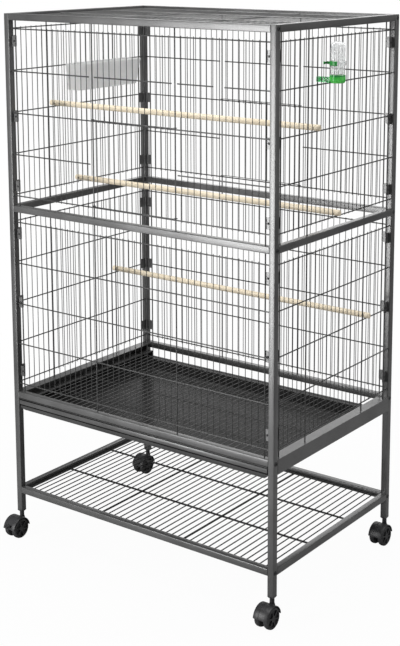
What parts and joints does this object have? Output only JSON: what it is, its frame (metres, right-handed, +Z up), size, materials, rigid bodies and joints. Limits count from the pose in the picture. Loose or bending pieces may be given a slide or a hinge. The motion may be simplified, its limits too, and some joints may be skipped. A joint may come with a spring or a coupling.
{
  "type": "parrot cage",
  "caption": "Tall wire parrot cage on swivel casters, with lift-up doors front and back, wooden perches, a clip-on water bottle, a hanging bath, a slide-out grate and tray and a shelf below.",
  "frame": {"origin": "on the floor, under the middle of the four posts", "axes": "+Z up, -Y towards the front, where the tray pulls out, +X towards the side with the water bottle"},
  "size_m": [0.8319, 0.5735, 1.322],
  "materials": {
    "frame": "charcoal hammered powder coat",
    "wire": "charcoal powder-coated welded wire",
    "pan": "satin black powder coat",
    "wood": "plain sanded pale wood",
    "clear": "clear plastic",
    "green": "bright green moulded plastic",
    "milky": "milky see-through plastic",
    "black": "black moulded plastic",
    "plug": "dark grey moulded plastic"
  },
  "bodies": {
    "cage": {"post_fl": "frame", "post_fr": "frame", "post_bl": "frame", "post_br": "frame", "top_rail_front": "frame", "top_rail_back": "frame", "top_rail_left": "frame", "top_rail_right": "frame", "mid_rail_front": "frame", "mid_rail_back": "frame", "mid_rail_left": "frame", "mid_rail_right": "frame", "shelf_rail_front": "frame", "shelf_rail_back": "frame", "shelf_rail_left": "frame", "shelf_rail_right": "frame", "base_rail_front": "frame", "base_rail_back": "frame", "apron_left": "frame", "apron_right": "frame", "panel_upper_front": "wire", "panel_lower_front": "wire", "panel_upper_back": "wire", "panel_lower_back": "wire", "panel_upper_left": "wire", "panel_lower_left": "wire", "panel_upper_right": "wire", "panel_lower_right": "wire", "top_mesh": "wire", "shelf_mesh": "wire", "perch_front": "wood", "perch_middle": "wood", "perch_back": "wood", "water_bottle": "clear", "bottle_cup": "green", "bottle_clip": "green", "bath": "milky", "leg_plug_fl": "plug", "leg_plug_fr": "plug", "leg_plug_bl": "plug", "leg_plug_br": "plug"},
    "front_door": {"door_front": "wire"},
    "back_door": {"door_back": "wire"},
    "floor_grate": {"grate": "pan"},
    "waste_tray": {"tray": "pan"},
    "caster_fl": {"caster_hood_fl": "black"},
    "wheels_fl": {"caster_wheels_fl": "black"},
    "brake_fl": {"brake_lever_fl": "black"},
    "caster_fr": {"caster_hood_fr": "black"},
    "wheels_fr": {"caster_wheels_fr": "black"},
    "caster_bl": {"caster_hood_bl": "black"},
    "wheels_bl": {"caster_wheels_bl": "black"},
    "brake_bl": {"brake_lever_bl": "black"},
    "caster_br": {"caster_hood_br": "black"},
    "wheels_br": {"caster_wheels_br": "black"}
  },
  "joints": [
    {"name": "front_door_lift", "type": "slide", "parent": "cage", "child": "front_door", "axis": [0, 0, 1], "range_m": [0, 0.1968]},
    {"name": "back_door_lift", "type": "slide", "parent": "cage", "child": "back_door", "axis": [0, 0, 1], "range_m": [0, 0.1968]},
    {"name": "grate_slide", "type": "slide", "parent": "cage", "child": "floor_grate", "axis": [0, -1, 0], "range_m": [0, 0.42]},
    {"name": "tray_slide", "type": "slide", "parent": "cage", "child": "waste_tray", "axis": [0, -1, 0], "range_m": [0, 0.42]},
    {"name": "swivel_fl", "type": "hinge", "parent": "cage", "child": "caster_fl", "pos_m": [-0.3845, -0.252, 0.066], "axis": [0, 0, 1], "continuous": true},
    {"name": "roll_fl", "type": "hinge", "parent": "caster_fl", "child": "wheels_fl", "pos_m": [-0.3845, -0.272, 0.025], "axis": [1, 0, 0], "continuous": true},
    {"name": "brake_fl", "type": "hinge", "parent": "caster_fl", "child": "brake_fl", "pos_m": [-0.3845, -0.30114, 0.03797], "axis": [1, 0, 0], "range_deg": [0, 20]},
    {"name": "swivel_fr", "type": "hinge", "parent": "cage", "child": "caster_fr", "pos_m": [0.3845, -0.252, 0.066], "axis": [0, 0, 1], "continuous": true},
    {"name": "roll_fr", "type": "hinge", "parent": "caster_fr", "child": "wheels_fr", "pos_m": [0.3845, -0.272, 0.025], "axis": [1, 0, 0], "continuous": true},
    {"name": "swivel_bl", "type": "hinge", "parent": "cage", "child": "caster_bl", "pos_m": [-0.3845, 0.252, 0.066], "axis": [0, 0, 1], "continuous": true},
    {"name": "roll_bl", "type": "hinge", "parent": "caster_bl", "child": "wheels_bl", "pos_m": [-0.3845, 0.232, 0.025], "axis": [1, 0, 0], "continuous": true},
    {"name": "brake_bl", "type": "hinge", "parent": "caster_bl", "child": "brake_bl", "pos_m": [-0.3845, 0.20286, 0.03797], "axis": [1, 0, 0], "range_deg": [0, 20]},
    {"name": "swivel_br", "type": "hinge", "parent": "cage", "child": "caster_br", "pos_m": [0.3845, 0.252, 0.066], "axis": [0, 0, 1], "continuous": true},
    {"name": "roll_br", "type": "hinge", "parent": "caster_br", "child": "wheels_br", "pos_m": [0.3845, 0.232, 0.025], "axis": [1, 0, 0], "continuous": true}
  ]
}
